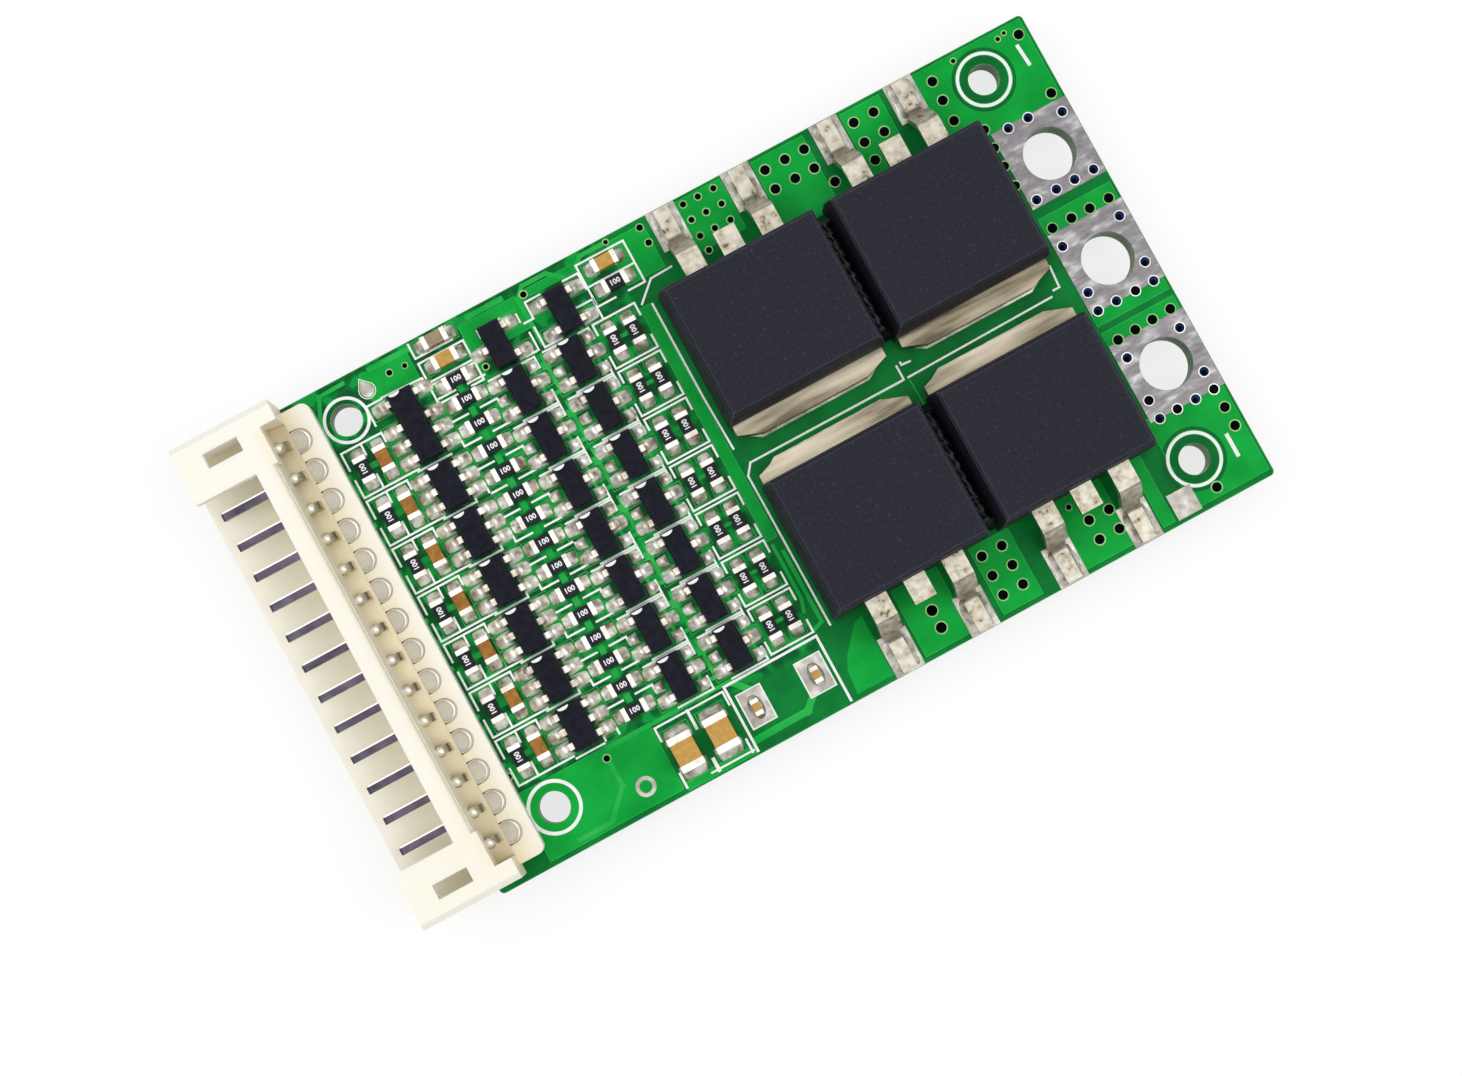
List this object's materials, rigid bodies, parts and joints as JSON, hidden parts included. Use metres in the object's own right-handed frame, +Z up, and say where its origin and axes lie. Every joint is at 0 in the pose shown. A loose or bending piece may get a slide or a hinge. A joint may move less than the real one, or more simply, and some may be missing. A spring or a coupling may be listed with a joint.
{
  "type": "battery management board",
  "caption": "Rectangular green circuit board with a side-entry pin header, rows of small surface-mount chips, flat power transistors, terminal holes and corner mounting holes.",
  "frame": {"origin": "middle of the four corner mounting holes, on the underside of the board", "axes": "+X along the board from the cell header to the power terminals, +Z up out of the component side"},
  "size_m": [0.0567, 0.0316, 0.0082],
  "materials": {
    "laminate": "glossy green solder mask on glass laminate",
    "header_nylon": "cream moulded nylon",
    "tinned_pin": "tinned square post",
    "power_moulding": "matt charcoal epoxy",
    "power_tab": "matt tinned copper",
    "power_lead": "tinned copper",
    "package_moulding": "matt black epoxy",
    "package_lead": "tinned",
    "resistor_body": "black glazed ceramic",
    "capacitor_body": "fired ceramic, orange brown",
    "large_capacitor_body": "fired ceramic, tan",
    "chip_end": "tinned"
  },
  "bodies": {
    "root": {"board": "laminate", "header_housing": "header_nylon", "header_pins": "tinned_pin", "upper_left_mosfet_body": "power_moulding", "upper_left_mosfet_tab": "power_tab", "upper_left_mosfet_leads": "power_lead", "upper_right_mosfet_body": "power_moulding", "upper_right_mosfet_tab": "power_tab", "upper_right_mosfet_leads": "power_lead", "lower_left_mosfet_body": "power_moulding", "lower_left_mosfet_tab": "power_tab", "lower_left_mosfet_leads": "power_lead", "lower_right_mosfet_body": "power_moulding", "lower_right_mosfet_tab": "power_tab", "lower_right_mosfet_leads": "power_lead", "controller_body": "package_moulding", "monitor_bodies": "package_moulding", "left_transistor_bodies": "package_moulding", "right_transistor_bodies": "package_moulding", "upper_left_transistor_body": "package_moulding", "upper_right_transistor_body": "package_moulding", "controller_leads": "package_lead", "monitor_leads": "package_lead", "left_transistor_leads": "package_lead", "right_transistor_leads": "package_lead", "upper_left_transistor_leads": "package_lead", "upper_right_transistor_leads": "package_lead", "filter_resistor_bodies": "resistor_body", "series_resistor_bodies": "resistor_body", "upper_resistor_body": "resistor_body", "bleed_resistor_bodies": "resistor_body", "output_resistor_body": "resistor_body", "filter_capacitor_bodies": "capacitor_body", "supply_capacitor_bodies": "capacitor_body", "output_capacitor_body": "capacitor_body", "sense_capacitor_bodies": "capacitor_body", "storage_capacitor_bodies": "large_capacitor_body", "filter_resistor_ends": "chip_end", "filter_capacitor_ends": "chip_end", "series_resistor_ends": "chip_end", "upper_resistor_ends": "chip_end", "supply_capacitor_ends": "chip_end", "bleed_resistor_ends": "chip_end", "output_capacitor_ends": "chip_end", "output_resistor_ends": "chip_end", "storage_capacitor_ends": "chip_end", "sense_capacitor_ends": "chip_end"}
  },
  "joints": []
}
